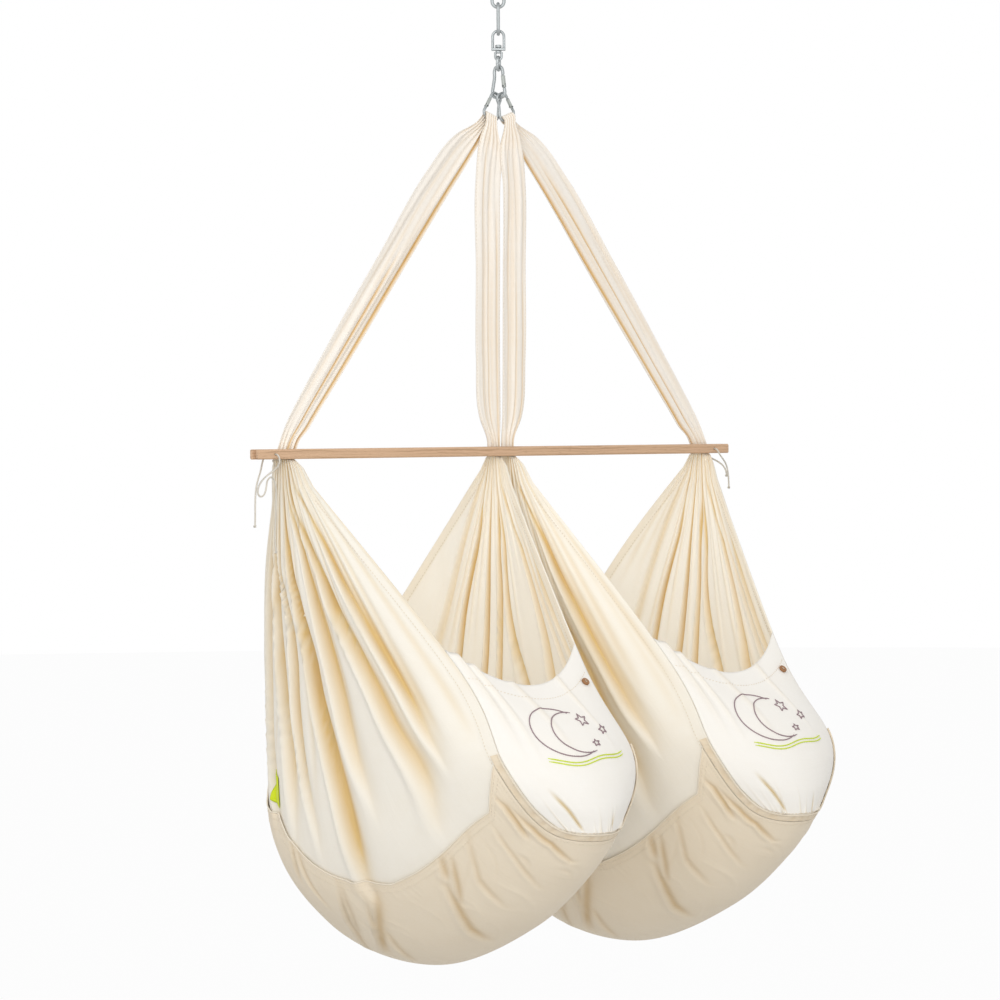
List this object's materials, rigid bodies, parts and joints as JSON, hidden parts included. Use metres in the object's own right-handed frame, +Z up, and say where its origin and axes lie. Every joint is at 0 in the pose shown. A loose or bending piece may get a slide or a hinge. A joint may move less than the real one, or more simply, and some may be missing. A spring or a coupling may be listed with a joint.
{
  "type": "hanging twin baby cradle",
  "caption": "Twin cotton cradles hung side by side from a slotted wooden spreader bar, with cloth straps over snap hooks, a swivel and a short chain below a ceiling plate",
  "frame": {"origin": "centre of the ceiling plate's flat top face, which lies against the ceiling", "axes": "+Z up out of the plate into the ceiling, +X along the spreader bar to the right as seen from the foot ends, -Y towards the cradles' foot ends"},
  "size_m": [1.1058, 0.7725, 1.7381],
  "materials": {
    "steel": "satin",
    "gate_steel": "satin",
    "beech": "satin",
    "cotton": "matte",
    "base_cotton": "matte",
    "panel_cotton": "matte",
    "wadding": "matte",
    "cord_cotton": "matte",
    "button_wood": "satin",
    "lime_cloth": "matte"
  },
  "bodies": {
    "ceiling": {"ceiling_plate": "steel"},
    "upper_link": {"upper_chain_link": "steel"},
    "lower_link": {"lower_chain_link": "steel"},
    "yoke": {"swivel_yoke": "steel"},
    "turning_eye": {"swivel_eye": "steel"},
    "ring": {"connecting_ring": "steel"},
    "upper_hook": {"upper_snap_hook": "steel", "upper_gate_rivet": "steel"},
    "upper_gate": {"upper_hook_gate": "gate_steel"},
    "suspension": {"left_snap_hook": "steel", "left_gate_rivet": "steel", "left_strap": "cotton", "right_snap_hook": "steel", "right_gate_rivet": "steel", "right_strap": "cotton", "spreader_bar": "beech", "left_tie_cord": "cord_cotton", "right_tie_cord": "cord_cotton"},
    "left_gate": {"left_hook_gate": "gate_steel"},
    "right_gate": {"right_hook_gate": "gate_steel"},
    "left_cradle": {"left_cradle_cloth": "cotton", "left_base_layer": "base_cotton", "left_mattress": "wadding", "left_foot_panel": "panel_cotton", "left_foot_band": "base_cotton", "left_button": "button_wood", "left_side_tab": "lime_cloth"},
    "right_cradle": {"right_cradle_cloth": "cotton", "right_base_layer": "base_cotton", "right_mattress": "wadding", "right_foot_panel": "panel_cotton", "right_foot_band": "base_cotton", "right_button": "button_wood", "right_side_tab": "lime_cloth"}
  },
  "joints": [
    {"name": "upper_link_swing", "type": "hinge", "parent": "ceiling", "child": "upper_link", "pos_m": [0, 0, -0.029], "axis": [0.6428, 0.766, 0], "range_deg": [-30, 30]},
    {"name": "lower_link_swing", "type": "hinge", "parent": "upper_link", "child": "lower_link", "pos_m": [0, 0, -0.0767], "axis": [0.766, -0.6428, 0], "range_deg": [-30, 30]},
    {"name": "yoke_swing", "type": "hinge", "parent": "lower_link", "child": "yoke", "pos_m": [0, 0, -0.1244], "axis": [0.6428, 0.766, 0], "range_deg": [-25, 25]},
    {"name": "swivel_turn", "type": "hinge", "parent": "yoke", "child": "turning_eye", "pos_m": [0, 0, -0.1511], "axis": [0, 0, 1], "continuous": true},
    {"name": "ring_swing", "type": "hinge", "parent": "turning_eye", "child": "ring", "pos_m": [0, 0, -0.1696], "axis": [0.766, -0.6428, 0], "range_deg": [-20, 20]},
    {"name": "upper_hook_swing", "type": "hinge", "parent": "ring", "child": "upper_hook", "pos_m": [0, 0, -0.1881], "axis": [0.8192, 0.5736, 0], "range_deg": [-15, 15]},
    {"name": "upper_gate_opens", "type": "hinge", "parent": "upper_hook", "child": "upper_gate", "pos_m": [0.00376, -0.01034, -0.21654], "axis": [-0.9397, -0.342, 0], "range_deg": [0, 20], "stiffness_Nm_per_rad": 0.02, "springref_deg": -20.05},
    {"name": "bar_tilt", "type": "hinge", "parent": "upper_hook", "child": "suspension", "pos_m": [0, 0, -0.2358], "axis": [0.342, -0.9397, 0], "range_deg": [-12, 12]},
    {"name": "left_gate_opens", "type": "hinge", "parent": "suspension", "child": "left_gate", "pos_m": [-0.02569, 0.00329, -0.25186], "axis": [0, 1, 0], "range_deg": [0, 20], "stiffness_Nm_per_rad": 0.02, "springref_deg": -20.05},
    {"name": "right_gate_opens", "type": "hinge", "parent": "suspension", "child": "right_gate", "pos_m": [0.02569, -0.00329, -0.25186], "axis": [0, -1, 0], "range_deg": [0, 20], "stiffness_Nm_per_rad": 0.02, "springref_deg": -20.05},
    {"name": "left_cradle_rock", "type": "hinge", "parent": "suspension", "child": "left_cradle", "pos_m": [0, 0, -0.87565], "axis": [1, 0, 0], "range_deg": [-12, 12]},
    {"name": "right_cradle_rock", "type": "hinge", "parent": "suspension", "child": "right_cradle", "pos_m": [0, 0, -0.87565], "axis": [1, 0, 0], "range_deg": [-12, 12]}
  ]
}
